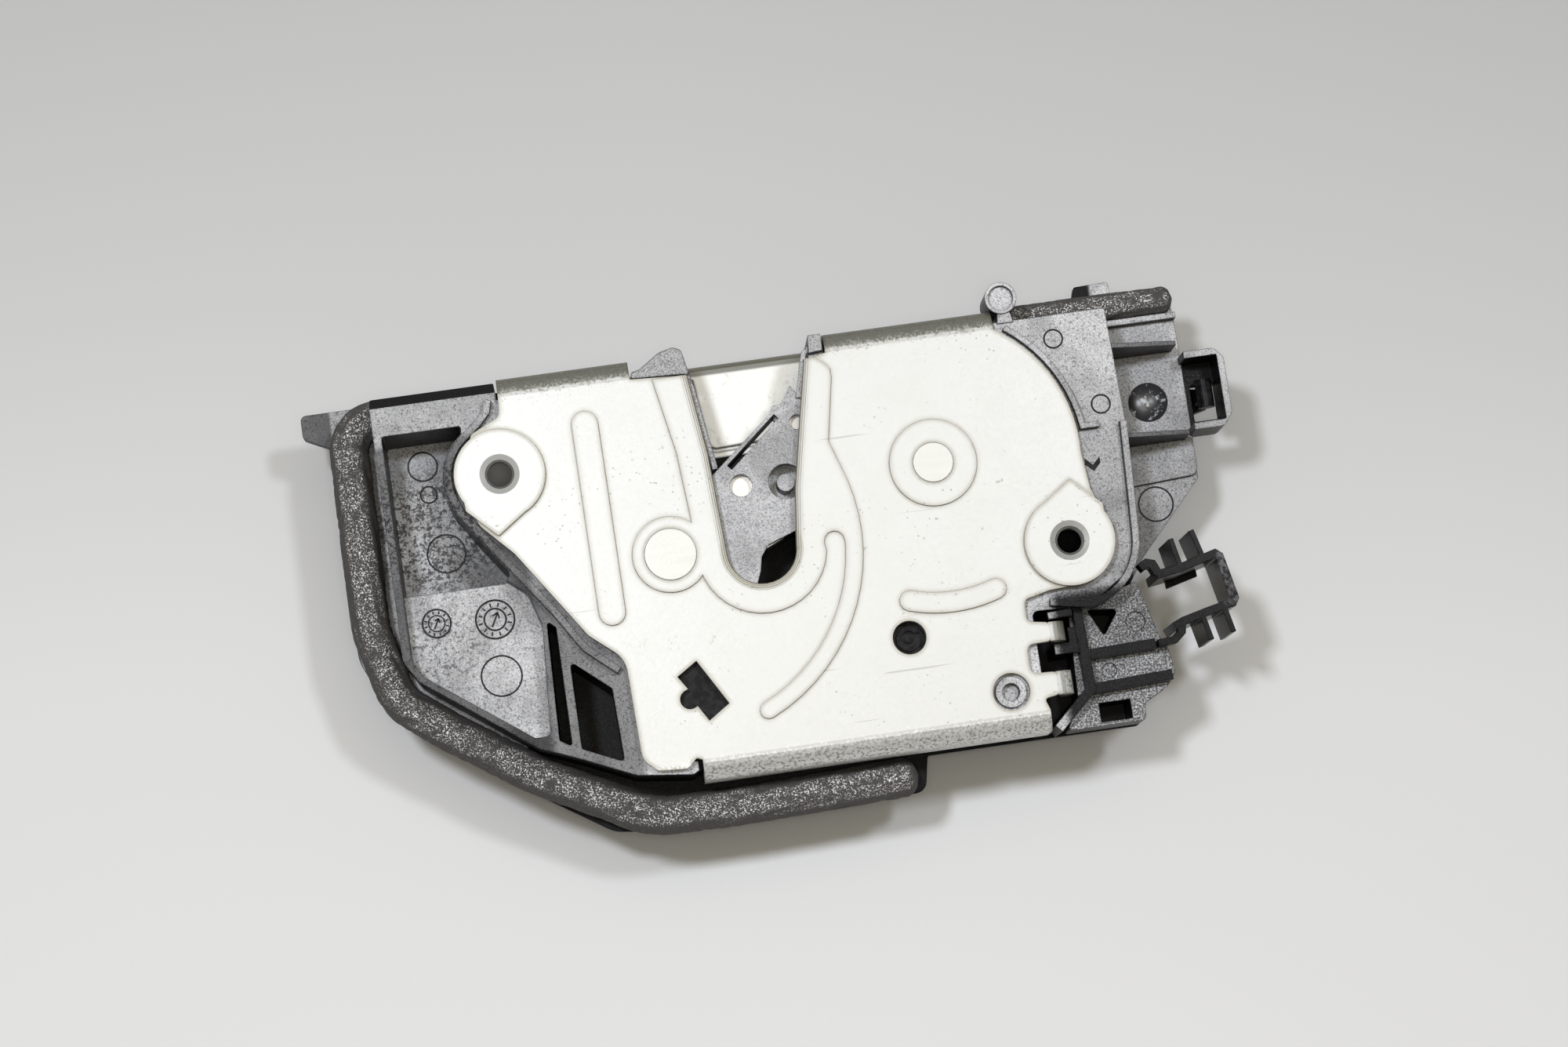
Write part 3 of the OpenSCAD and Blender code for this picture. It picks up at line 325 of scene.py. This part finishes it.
def placed(name, points, faces, finish, body, slot):
    """A mesh from points in mm and faces as lists of point numbers, dressed and riding on a body."""
    mesh = bpy.data.meshes.new(name)
    corners = (np.asarray(points, float) / 1000).tolist()
    mesh.from_pydata(corners, [], [list(map(int, face)) for face in faces])
    mesh.validate()
    piece = bpy.data.objects.new(name, mesh)
    bpy.context.scene.collection.objects.link(piece)
    finish.on(piece)
    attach(piece, body)
    return piece


def quads(rows, columns):
    """Faces of a grid that closes on itself along its columns, row by row.

    Face (i, k) joins points i n + k and i n + k + 1 with the two above them, where n is the columns
    and k + 1 goes back to 0 past the last.
    """
    i, k = np.meshgrid(np.arange(rows - 1), np.arange(columns), indexing="ij")
    a, b = i * columns + k, i * columns + (k + 1) % columns
    return np.stack([a, b, b + columns, a + columns], axis=-1).reshape(-1, 4).tolist()


def around(centre, r, turn, height):
    """Points of a surface of revolution: centre + (r cos a, r sin a) at the height, for each angle a."""
    return np.stack([centre[0] + r * np.cos(turn), centre[1] + r * np.sin(turn), height + 0 * turn],
                    axis=-1)


def ring(centre, inner, outer, low, high, steps=40):
    """A flat ring: the rectangle inner..outer by low..high, carried round the centre once.

    P(u, a) = centre + (r(u) cos a, r(u) sin a, z(u)), with u going round the rectangle.
    """
    turn = np.linspace(0, 2 * np.pi, steps, endpoint=False)
    r = np.array([outer, outer, inner, inner, outer])[:, None]
    z = np.array([low, high, high, low, low])[:, None]
    points = around(centre, r, turn, z)
    faces = np.array(quads(5, steps))
    return points[:4].reshape(-1, 3), np.where(faces >= 4 * steps, faces - 4 * steps, faces).tolist()


def tablet(outline, low, high):
    """A flat solid: the outline, counter-clockwise, at two heights with walls between them."""
    flat = np.asarray(outline, float)
    n = len(flat)
    points = np.concatenate([np.column_stack([flat, np.full(n, z)]) for z in (low, high)])
    walls = [[i, (i + 1) % n, n + (i + 1) % n, n + i] for i in range(n)]
    return points, [list(range(n))[::-1], list(range(n, 2 * n)), *walls]


def together(shapes):
    """Several (points, faces) as one: each shape's point numbers go up by the points before it."""
    points, faces, first = [], [], 0
    for some, their in shapes:
        points.append(some)
        faces += [[number + first for number in face] for face in their]
        first += len(some)
    return np.concatenate(points), faces


def heading(angle):
    """The direction in the plane at an angle in radians: (cos, sin)."""
    return np.array([np.cos(angle), np.sin(angle)])


def turned_bar(centre, angle, near, far, width, low, high):
    """A bar that runs out from the centre at an angle, from near to far.

    Its corners are centre + u along +- width / 2 across, for u near and far, with across square to along.
    """
    along = heading(angle)
    across = np.array([-along[1], along[0]]) * width / 2
    return tablet([centre + along * near - across, centre + along * far - across,
                   centre + along * far + across, centre + along * near + across], low, high)


black = Finish("bare_moulding", Specular_IOR_Level=black_gloss)
black_grain = black.noise(2500, 2.0)
black_cloud = black.noise(900, 3.0).step(0.4, 0.6)
black.set(Base_Color=black.mix(black_cloud, (0.007, 0.007, 0.008), (0.022, 0.022, 0.024)),
          Roughness=0.28 + 0.12 * black_grain)
black.relief(black_grain, 0.008)

face_z, step_z, base_z = -2.8, -8.0, -18.0
block_z = step_z - 0.4

# Ejector marks: centre, radius and the level that each stands on
ejectors = [(-61.4, 18.3, 2.7, base_z), (-61.0, 13.2, 1.6, base_z), (-59.3, 2.4, 3.5, base_z),
            (-52.4, -21.3, 3.65, step_z), (50.7, 23.1, 1.75, face_z), (57.2, 10.6, 1.75, face_z),
            (66.2, -6.4, 3.2, base_z), (58.0, -27.4, 1.9, block_z), (52.2, -35.2, 1.5, block_z)]
mark_w, mark_h, mark_root = 0.28, 0.13, 0.05
placed("ejector_marks", *together([ring((mark_x, mark_y), r - mark_w, r, level - mark_root, level + mark_h)
                                   for mark_x, mark_y, r, level in ejectors]),
       black, "lock_body", "black_moulding")

# Date clocks: each is a rim, an inner ring, twelve ticks and an arrow
clocks = [(-62.3, -10.7, 2.6), (-52.2, -11.4, 3.5)]
clock_low, clock_high = step_z - 0.05, step_z + 0.2
rim_w, tick_w, arrow_w = 0.3, 0.22, 0.26
first_tick, arrow_turn, barb_turn = 0.2, 1.1, 2.5
shapes = []
for clock_x, clock_y, r in clocks:
    centre = np.array([clock_x, clock_y])
    tip = centre + r * 0.36 * heading(arrow_turn)
    shapes += [ring(centre, r - rim_w, r, clock_low, clock_high),
               ring(centre, r * 0.5, r * 0.58, clock_low, clock_high)]
    shapes += [turned_bar(centre, tick, r * 0.64, r * 0.84, tick_w, clock_low, clock_high)
               for tick in np.arange(12) * np.pi / 6 + first_tick]
    shapes.append(turned_bar(centre, arrow_turn, -r * 0.4, r * 0.3, arrow_w, clock_low, clock_high))
    shapes += [turned_bar(tip, arrow_turn + barb, 0, r * 0.3, arrow_w, clock_low, clock_high)
               for barb in (barb_turn, -barb_turn)]
placed("date_clocks", *together(shapes), black, "lock_body", "black_moulding")

# Chevron: the upper edge goes down to its point and up again, and the lower edge runs below it
chevron_x, chevron_y, chevron_arm, chevron_w = 54.2, 0.2, 1.3, 1.1
upper = [(chevron_x + side * chevron_arm, chevron_y + abs(side) * chevron_arm) for side in (1, 0, -1)]
lower = [(edge_x, edge_y - chevron_w) for edge_x, edge_y in upper[::-1]]
chevron = lower + upper
placed("chevron_mark", *tablet(chevron, face_z - 0.05, face_z + 0.25), black, "lock_body", "black_moulding")

# MOUTH LINER. Softer grey moulding pushed into the housing beside the fishmouth, where it guides
# the striker in; its nose stands up past the lock plate's edge.

liner = Finish("grey_moulding", Roughness=0.36)
liner_grain = liner.noise(3600, 3.0, 0.7)
# Painted light: faces that look towards the door are grey as sheen with some wear, the walls stay dark, and
# edges get painted shade
liner_sheen_wear = liner.facing_up().step(0.6, 0.97) * (0.22 + 0.78 * liner_grain.step(0.36, 0.64))
liner_sheen_wear = liner_sheen_wear * (1.0 - 0.8 * liner.edges(liner.eased(0.5), 0.2))
liner.set(Base_Color=liner.mix(liner_sheen_wear, (0.02, 0.02, 0.022), (0.52, 0.52, 0.54)))
liner.relief(liner_grain, 0.015, liner.eased(0.4))
liner.on(nodes["mouth_liner"])

# CATCH. A fine-blanked steel core overmoulded with a grey nylon jacket. The jacket is slit along
# its load edge to soften the striker's landing, and shows the core in two round windows.

core = Finish("catch_steel", Roughness=0.34, Metallic=0.5)
core.set(Base_Color=core.mix(core.noise(900, 3.0), (0.46, 0.45, 0.43), (0.62, 0.61, 0.59)))
core.relief(core.noise(3000, 2.0), 0.01)
core.on(nodes["catch_core"])

jacket = Finish("catch_jacket", Roughness=0.34)
jacket_grain = jacket.noise(3800, 3.0, 0.7)
patches = jacket.noise(110, 3.0, 0.6).step(0.38, 0.62)
# Painted light: the jacket's faces that look towards the door are grey as sheen with some wear, patchy and
# grainy; its walls stay dark
jacket_sheen_wear = jacket.facing_up().step(0.6, 0.97) * (0.62 + 0.38 * patches) * jacket_grain.step(0.22, 0.62)
jacket.set(Base_Color=jacket.mix(jacket_sheen_wear, (0.02, 0.02, 0.024), (0.66, 0.66, 0.695)),
           Roughness=0.28 + 0.2 * jacket_grain)
jacket.relief(jacket_grain, 0.02, jacket.eased(0.3))
jacket.on(nodes["catch_jacket"])

rubber = Finish("black_rubber", Roughness=0.7)
rubber.set(Base_Color=rubber.mix(rubber.noise(800), (0.02, 0.02, 0.02), (0.05, 0.05, 0.05)))
rubber.relief(rubber.noise(1500), 0.03)
rubber.on(nodes["catch_buffer"])

# PAWL AND RELEASE LEVER. Blanked and plated steel on the second rivet. The pawl's moulded boss
# lies behind a round hole of the lock plate, and springs of steel wire drive pawl and catch.

bright = Finish("bright_steel", Roughness=0.36, Metallic=0.5)
rolled = bright.noise(70, 4.0, 0.6, bright.stretched(1, 9, 1))
bright.set(Base_Color=bright.mix(rolled, (0.40, 0.40, 0.385), (0.49, 0.49, 0.475)))
bright.relief(bright.noise(2500, 2.0), 0.01, bright.eased(0.3))
bright.on(nodes["pawl"], nodes["release_lever"])
black.on(nodes["pawl_jacket"])

wire = Finish("spring_steel", Roughness=0.3, Metallic=0.9)
wire.set(Base_Color=wire.mix(wire.noise(1200), (0.32, 0.32, 0.32), (0.5, 0.5, 0.5)))
wire.relief(wire.noise(3000), 0.01)
wire.on(nodes["catch_spring"], nodes["pawl_spring"])

# LOCK PLATE. Two millimetre sheet, pressed, bent at its edges and zinc plated: nearly white where
# it lies flat, with painted shade and reflection in olive grey round the bends, painted lighter over
# the foot, a painted shaded lip round the end of the slot, tan lines along the pressed beads and
# fine scuffs.

zinc, worn_zinc = (0.57, 0.57, 0.56), (0.50, 0.49, 0.46)
bend_shade_olive, foot_bend_light = (0.150, 0.145, 0.105), (0.88, 0.88, 0.87)
lip_shade_grey, seam_tan, scuff_brown = (0.30, 0.29, 0.24), (0.40, 0.37, 0.29), (0.16, 0.15, 0.13)
hole_a, hole_b = (-47.88, 12.56), (47.88, -12.56)
slot_end, lip_r = (-5, -6.5), 6.9

plate = Finish("plated_steel")
at_holes = plate.near(hole_a, 3.6, 0.5).most(plate.near(hole_b, 3.6, 0.5))
rolled_over = plate.z.span(-0.85, -1.15) * (1.0 - at_holes)
wide_edge = plate.eased(1.6)
plate_edge = plate.node("ShaderNodeMix", {"data_type": "VECTOR"}, out=1, in_0=rolled_over,
                        in_4=plate.eased(0.2), in_5=wide_edge)
lines = plate.edges(wide_edge, 0.14) * (0.45 + 0.7 * plate.noise(170, 3.0)) * (1.0 - at_holes)
speckled = plate.noise(1900, 3.0, 0.7)

# Painted shade and reflection on the bent edges, above, below and at the right, and on the speckled strips
# beside two of them; over the foot the bend is painted lighter
rim = plate.y.span(26.2, 27.0).most(plate.y.span(-41.5, -42.3)).most(plate.x.span(41.7, 42.1))
towards_bend = plate.y.span(23.8, 29.2).most(plate.y.span(-39.0, -44.2))
painted_bend_shade = (rim * plate.facing_up().step(0.985, 0.72)).most(
    (towards_bend + (speckled - 0.5) * 1.6).step(0.36, 0.74) * 0.85)
at_foot = plate.y.span(-25.0, -35.0)
painted_bend_colour = plate.mix(at_foot * speckled.step(0.34, 0.54), bend_shade_olive, foot_bend_light)

# Painted shade: the rounded lip round the end of the slot is grey where it turns away
painted_lip_shade = plate.near(slot_end, lip_r, 0.5) * plate.y.span(slot_end[1] + 3.5, slot_end[1] + 1.0)
painted_lip_shade = painted_lip_shade * (0.35 + 0.4 * speckled)
worn = plate.noise(90, 4.0, 0.6).step(0.42, 0.66)
pits = plate.cells(900).step(0.20, 0.10) * plate.noise(60, 3.0, 0.6).step(0.50, 0.62)
smudges = plate.noise(430, 5.0, 0.75).step(0.645, 0.68) * plate.noise(45, 2.0).step(0.48, 0.58)
scratches = plate.noise(260, 2.0, 0.5, plate.stretched(0.12, 3.4, 1, 0.5)).step(0.71, 0.75) * 0.35

ground = plate.mix(0.10 * worn, zinc, worn_zinc)
ground = plate.mix(painted_lip_shade, ground, lip_shade_grey)
ground = plate.mix(lines, ground, seam_tan)
ground = plate.mix(painted_bend_shade * (0.60 + 0.5 * speckled), ground, painted_bend_colour)
ground = plate.mix((pits.most(smudges) * 0.55).most(scratches), ground, scuff_brown)
plate.set(Base_Color=ground, Roughness=0.38 + 0.10 * speckled, Metallic=0.35 - 0.3 * lines)
plate.relief(speckled, 0.012, plate_edge)
plate.on(nodes["lock_plate"])


def thread(centre, core_r, depth, pitch, low, high, rows=60, steps=40):
    """The thread in a fixing hole, as the inside of its wall.

    P(t, a) = centre + r (cos a, sin a) at height low + t (high - low), where r falls from the core
    radius by the depth and comes back over each pitch, and winds up by one pitch a turn.
    """
    height = np.linspace(low, high, rows)[:, None]
    turn = np.linspace(0, 2 * np.pi, steps, endpoint=False)[None, :]
    saw = np.abs(((height / pitch + turn / (2 * np.pi)) % 1.0) * 2 - 1)
    points = around(centre, core_r - depth * saw, turn, height)
    return points.reshape(-1, 3), [face[::-1] for face in quads(rows, steps)]


thread_r, thread_depth, thread_pitch = 2.49, 0.35, 1.0
thread_low, thread_high = -2.75, -0.42
threads = [thread(centre, thread_r, thread_depth, thread_pitch, thread_low, thread_high)
           for centre in (hole_a, hole_b)]
placed("fixing_threads", *together(threads), bright, "lock_body", "plated_steel")

# PIVOTS AND BACK PLATE. Two shouldered rivets, upset over the lock plate in front and over the
# back plate behind; the back plate bridges the mouth between them.

bright.on(nodes["catch_rivet"], nodes["pawl_rivet"])

bridge_zinc, pressed_line = (0.62, 0.62, 0.60), (0.30, 0.285, 0.24)
painted_bridge_shade, bridge_wear = (0.22, 0.215, 0.17), (0.28, 0.27, 0.25)

bridge = Finish("bridge_steel", Metallic=0.4)
bridge_edge = bridge.eased(0.6)
bridge_grain = bridge.noise(1500, 3.0, 0.7)
wear = bridge.noise(220, 4.0, 0.7).step(0.52, 0.62) * bridge_grain.step(0.45, 0.6)
bridge_ground = bridge.mix(bridge.edges(bridge_edge, 0.2) * 0.6, bridge_zinc, pressed_line)
# Painted shade: the back plate's bent faces, which turn away from the door, are dark olive
bridge_ground = bridge.mix(bridge.facing_up().step(0.99, 0.8), bridge_ground, painted_bridge_shade)
bridge_ground = bridge.mix(wear * 0.35, bridge_ground, bridge_wear)
bridge.set(Base_Color=bridge_ground, Roughness=0.36 + 0.1 * bridge_grain)
bridge.relief(bridge_grain, 0.012, bridge_edge)
bridge.on(nodes["back_plate"])

# ACTUATOR. A black case screwed on behind, with motor, worm, worm wheel and levers of uncoloured
# nylon on steel pins, and tinned brass blades in the plug socket. The inside handle's lever turns
# at the edge of the housing, on a pin with a black dome whose top is painted grey as sheen with some
# wear.

black.on(nodes["actuator_case"], nodes["ajar_switch"], nodes["inside_lever"])
wire.on(nodes["motor"], nodes["wheel_pin"], nodes["case_screws"])

natural = Finish("natural_moulding", Roughness=0.42)
natural.set(Base_Color=natural.mix(natural.noise(400), (0.60, 0.58, 0.50), (0.74, 0.72, 0.64)))
natural.relief(natural.noise(2200), 0.01, natural.eased(0.2))
natural.on(nodes["worm"], nodes["worm_wheel"], nodes["locking_lever"], nodes["switch_plunger"])

brass = Finish("contact_brass", Roughness=0.28, Metallic=0.95)
brass.set(Base_Color=brass.mix(brass.noise(900), (0.62, 0.50, 0.26), (0.78, 0.66, 0.38)))
brass.relief(brass.noise(2500), 0.008)
brass.on(nodes["contact_pins"])

plug = Finish("plug_moulding", Roughness=0.3)
plug_grain = plug.noise(620, 3.0, 0.7)
# Painted light: the dome's top, which looks towards the door, is grey as sheen with some wear
plug_sheen_wear = plug.facing_up().step(0.7, 0.95) * plug_grain.step(0.53, 0.66)
plug.set(Base_Color=plug.mix(plug_sheen_wear, (0.03, 0.03, 0.034), (0.50, 0.52, 0.56)))
plug.relief(plug_grain, 0.01)
plug.on(nodes["lever_pin"])

# CABLE CLIP. A glossy black hook with fins and a small frame, moulded in one piece and pushed on
# beside the end block, where it holds the inside handle's cable against the latch.

gloss = Finish("gloss_moulding", Specular_IOR_Level=black_gloss)
gloss_grain = gloss.noise(1500, 3.0, 0.65)
# Painted light: faces that look towards the door are grey as sheen with some wear, faint except over one
# bar, where they are greyer
greyer_at_bar = 0.03 + 0.40 * gloss.x.span(73.0, 73.8) * gloss.y.span(-27.5, -26.2)
clip_sheen_wear = gloss.facing_up().step(0.8, 0.98) * gloss_grain.step(0.38, 0.62) * greyer_at_bar
gloss.set(Base_Color=gloss.mix(clip_sheen_wear, (0.004, 0.004, 0.005), (0.30, 0.30, 0.32)),
          Roughness=0.2 + 0.08 * gloss_grain)
gloss.relief(gloss_grain, 0.006, gloss.eased(0.25))
gloss.on(nodes["cable_clip"])

# FOAM SEALS. Open-celled dark foam cord, glued on the base flange round the wing and the foot, and
# behind the right of the top edge; its skin is torn and grainy and its ends are pinched round.


def unit(vector):
    """The vector over its own length."""
    return vector / np.linalg.norm(vector)


def rounded_line(corners, radii, steps=8):
    """A line through corners, each turned by an arc of its own radius that touches both legs.

    The arc's centre lies on the line that halves the corner's angle, at radius / sin of half the angle,
    and it touches each leg at radius / tan of half the angle from the corner.
    """
    line = [np.array(corners[0], float)]
    for before, here, after, radius in zip(corners, corners[1:], corners[2:], radii):
        here = np.array(here, float)
        to_before, to_after = unit(np.array(before) - here), unit(np.array(after) - here)
        half = np.arccos(np.clip(to_before @ to_after, -1, 1)) / 2
        middle = here + unit(to_before + to_after) * radius / np.sin(half)
        start = here + to_before * radius / np.tan(half) - middle
        end = here + to_after * radius / np.tan(half) - middle
        line += [middle + unit(start * (1 - share) + end * share) * radius
                 for share in np.linspace(0, 1, steps)]
    return np.array(line + [np.array(corners[-1], float)])


def evenly(line, spacing):
    """The same line with points at even distances along it, set on its legs in proportion."""
    run = np.concatenate([[0], np.cumsum(np.linalg.norm(np.diff(line, axis=0), axis=1))])
    at = np.linspace(0, run[-1], int(run[-1] / spacing) + 1)
    return np.column_stack([np.interp(at, run, line[:, k]) for k in range(line.shape[1])]), at


foam_spacing, foam_steps, pinch_share, foam_lift = 0.55, 56, 0.8, 0.02
lump_waves = ((0.12, 0.018), (0.31, 0.014), (0.8, 0.010), (1.9, 0.009), (3.4, 0.008))


def foam_cord(name, line, radius, seed):
    """A round cord along a flat line just over the base flange, with pinched ends and a lumpy skin.

    P(s, a) = line(s) + r(s, a) (cos a n(s) + sin a up); r is the radius, less towards the ends by the
    quarter circle sqrt(1 - (1 - s / reach)^2) with reach a share of the radius, times 1 plus a few sine
    waves of random phase in s and a. What would reach below the flange is laid flat on it.
    """
    flat, run = evenly(line, foam_spacing)
    tangent = np.gradient(flat, axis=0)
    tangent /= np.linalg.norm(tangent, axis=1)[:, None]
    side = np.column_stack([-tangent[:, 1], tangent[:, 0]])
    turn = np.linspace(0, 2 * np.pi, foam_steps, endpoint=False)[None, :]
    inward = np.clip(np.minimum(run, run[-1] - run) / (pinch_share * radius), 0, 1)[:, None]
    pinch = np.sqrt(np.clip(1 - (1 - inward) ** 2, 0.003, 1))
    chance = np.random.RandomState(seed)
    lumps = 0
    for waves, depth in lump_waves:
        for _ in range(3):
            lumps = lumps + depth * np.sin(run[:, None] * waves * chance.uniform(0.7, 1.3)
                                           + chance.randint(1, 9) * turn + chance.uniform(0, 6.3))
    r = radius * pinch * (0.975 + np.clip(lumps, -0.06, 0.024))
    low_side = base_z + foam_lift
    rise = np.maximum(base_z + radius + foam_lift + r * np.sin(turn), low_side)
    out = r * np.cos(turn)
    points = np.stack([flat[:, :1] + side[:, :1] * out, flat[:, 1:] + side[:, 1:] * out, rise], axis=-1)
    count = len(flat)
    faces = [face[::-1] for face in quads(count, foam_steps)]
    faces += [list(range(foam_steps)), list(range((count - 1) * foam_steps, count * foam_steps))[::-1]]
    piece = placed(name, points.reshape(-1, 3), faces, foam, "lock_body", "foam")
    for polygon in piece.data.polygons:
        polygon.use_smooth = True
    return piece


foam = Finish("foam", Specular_IOR_Level=0.15)
torn = foam.noise(3300, 3.0, 0.75)
crest = foam.facing_up().step(0.66, 0.96)
torn_patches = foam.noise(420, 3.0, 0.6).step(0.32, 0.52)
# Painted highlights: near-white cells sparkle where the cord's crest looks up, and only few on its flanks
painted_crest_sparkle = torn.step(0.535, 0.595) * torn_patches * (0.06 + 0.94 * crest)
foam.set(Base_Color=foam.mix(painted_crest_sparkle, (0.088, 0.083, 0.081), (1.0, 0.99, 0.98)),
         Roughness=0.5 + 0.3 * torn)
foam.relief(torn, 0.12)

foot_y, seal_r, strip_r = -44.6, 3.5, 2.5
seal_corners = [(17, foot_y - 3.4), (12, foot_y - 3.7), (-18, foot_y - 4.5), (-30, foot_y - 4.2),
                (-49.4, -38.3), (-61.6, -29.9), (-70.9, -22.7), (-73.9, -10), (-73.9, 5), (-73.6, 27.2),
                (-65, 27.2)]
seal_turns = (10, 20, 16, 40, 40, 9, 12, 30, 5.5)
seal = foam_cord("wing_seal", rounded_line(seal_corners, seal_turns), seal_r, 4)
strip = foam_cord("top_seal", np.array([(44.4, 29.4), (74.4, 29.4)]), strip_r, 7)
for piece, node in ((seal, "foam_seal"), (strip, "foam_strip")):
    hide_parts(node)
